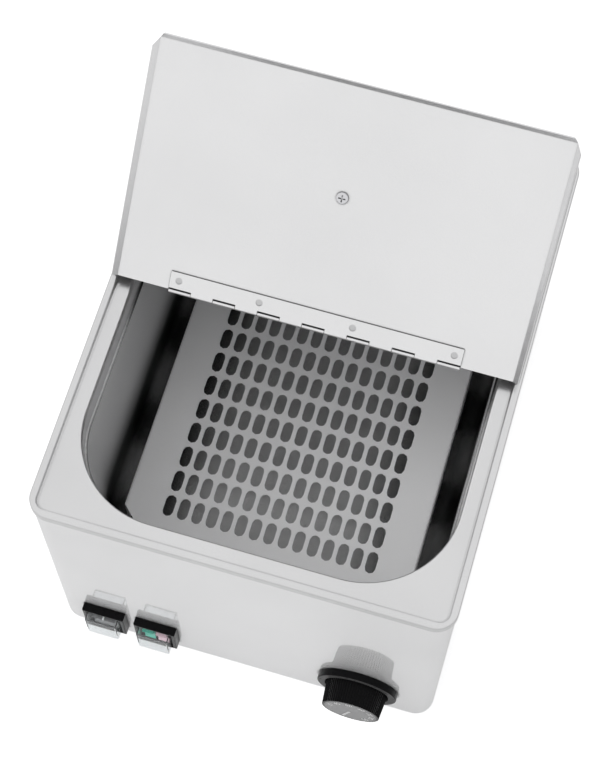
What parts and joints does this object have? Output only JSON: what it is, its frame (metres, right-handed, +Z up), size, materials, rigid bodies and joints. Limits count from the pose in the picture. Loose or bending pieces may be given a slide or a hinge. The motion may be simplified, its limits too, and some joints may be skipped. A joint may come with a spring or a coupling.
{
  "type": "hot dog steamer",
  "caption": "Counter-top stainless steel sausage steamer: deep basin with a perforated tray, split hinged lid, thermostat knob and rocker switches under clear caps.",
  "frame": {"origin": "on the ground below the centre of the whole object, lid open as pictured", "axes": "+Z up; -Y is the front with the switches and the knob; +X to the right of someone who faces the front"},
  "size_m": [0.27, 0.375, 0.3581],
  "materials": {
    "stainless_satin": "satin, fine grain",
    "stainless_mirror": "drawn, semi-bright",
    "stainless_polished": "polished",
    "galvanised": "zinc",
    "screw_steel": "bright zinc",
    "aluminium_plate": "plain",
    "element_sheath": "annealed",
    "copper_tube": "drawn tube",
    "black_plastic": "fine grain",
    "white_ceramic": "glazed",
    "brass_screw": "nickel free",
    "grey_plastic": "plain",
    "dial_grey": "satin black",
    "rocker_dark": "satin",
    "rocker_green": "translucent",
    "rocker_red": "translucent",
    "clear_cap": "clear",
    "black_rubber": "plain"
  },
  "bodies": {
    "cabinet": {"base_plate": "galvanised", "base_plate_screws": "screw_steel", "basin": "stainless_mirror", "bulb_clips": "galvanised", "cable_gland": "grey_plastic", "capillary_tube": "copper_tube", "clamp_nuts": "screw_steel", "clamp_studs": "screw_steel", "cutout_screws": "screw_steel", "deck_cover": "stainless_satin", "dry_boil_cutout": "black_plastic", "earth_nuts": "brass_screw", "earth_stud": "brass_screw", "element_clamps": "galvanised", "foot_front_left": "black_rubber", "foot_front_right": "black_rubber", "foot_rear_left": "black_rubber", "foot_rear_right": "black_rubber", "foot_screws": "screw_steel", "gland_dome_nut": "grey_plastic", "gland_lock_nut": "grey_plastic", "heat_spreader": "aluminium_plate", "heating_element": "element_sheath", "housing_front": "stainless_polished", "housing_left": "stainless_polished", "housing_rear": "stainless_polished", "housing_right": "stainless_polished", "power_bezel": "black_plastic", "power_rocker_pin": "screw_steel", "power_splash_cap": "clear_cap", "power_switch_body": "black_plastic", "signal_bezel": "black_plastic", "signal_rocker_pin": "screw_steel", "signal_splash_cap": "clear_cap", "signal_switch_body": "black_plastic", "terminal_block": "white_ceramic", "terminal_screws": "brass_screw", "thermostat_body": "grey_plastic", "thermostat_bulb": "copper_tube", "thermostat_collar": "black_plastic", "thermostat_screws": "screw_steel"},
    "tray": {"perforated_tray": "stainless_satin"},
    "lid_rear_half": {"lid_rear": "stainless_satin", "hinge_leaf_rear": "stainless_satin", "hinge_rivets_rear": "stainless_satin", "hinge_pin": "screw_steel"},
    "lid_front_half": {"lid_flap": "stainless_satin", "hinge_leaf_flap": "stainless_satin", "hinge_rivets_flap": "stainless_satin", "lid_knob": "black_plastic", "lid_knob_screw": "screw_steel"},
    "power_rocker": {"power_rocker": "rocker_dark"},
    "green_rocker": {"green_rocker": "rocker_green"},
    "red_rocker": {"red_rocker": "rocker_red"},
    "thermostat_knob": {"thermostat_knob": "black_plastic", "knob_dial": "dial_grey", "thermostat_shaft": "screw_steel"}
  },
  "joints": [
    {"name": "lid_lift_off", "type": "slide", "parent": "cabinet", "child": "lid_rear_half", "axis": [0, 0, 1], "range_m": [0, 0.06]},
    {"name": "lid_front_hinge", "type": "hinge", "parent": "lid_rear_half", "child": "lid_front_half", "pos_m": [0, -0.0035, 0.24171], "axis": [1, 0, 0], "range_deg": [0, 134.7]},
    {"name": "tray_lift_out", "type": "slide", "parent": "cabinet", "child": "tray", "axis": [0, 0, 1], "range_m": [0, 0.1]},
    {"name": "power_rocker_tip", "type": "hinge", "parent": "cabinet", "child": "power_rocker", "pos_m": [-0.0989, -0.1629, 0.0465], "axis": [-1, 0, 0], "range_deg": [0, 16]},
    {"name": "green_rocker_tip", "type": "hinge", "parent": "cabinet", "child": "green_rocker", "pos_m": [-0.0667, -0.1629, 0.0465], "axis": [-1, 0, 0], "range_deg": [0, 16]},
    {"name": "red_rocker_tip", "type": "hinge", "parent": "cabinet", "child": "red_rocker", "pos_m": [-0.0571, -0.1629, 0.0465], "axis": [-1, 0, 0], "range_deg": [0, 16]},
    {"name": "thermostat_knob_turn", "type": "hinge", "parent": "cabinet", "child": "thermostat_knob", "pos_m": [0.082, -0.1675, 0.057], "axis": [0, 1, 0], "range_deg": [0, 270]}
  ]
}
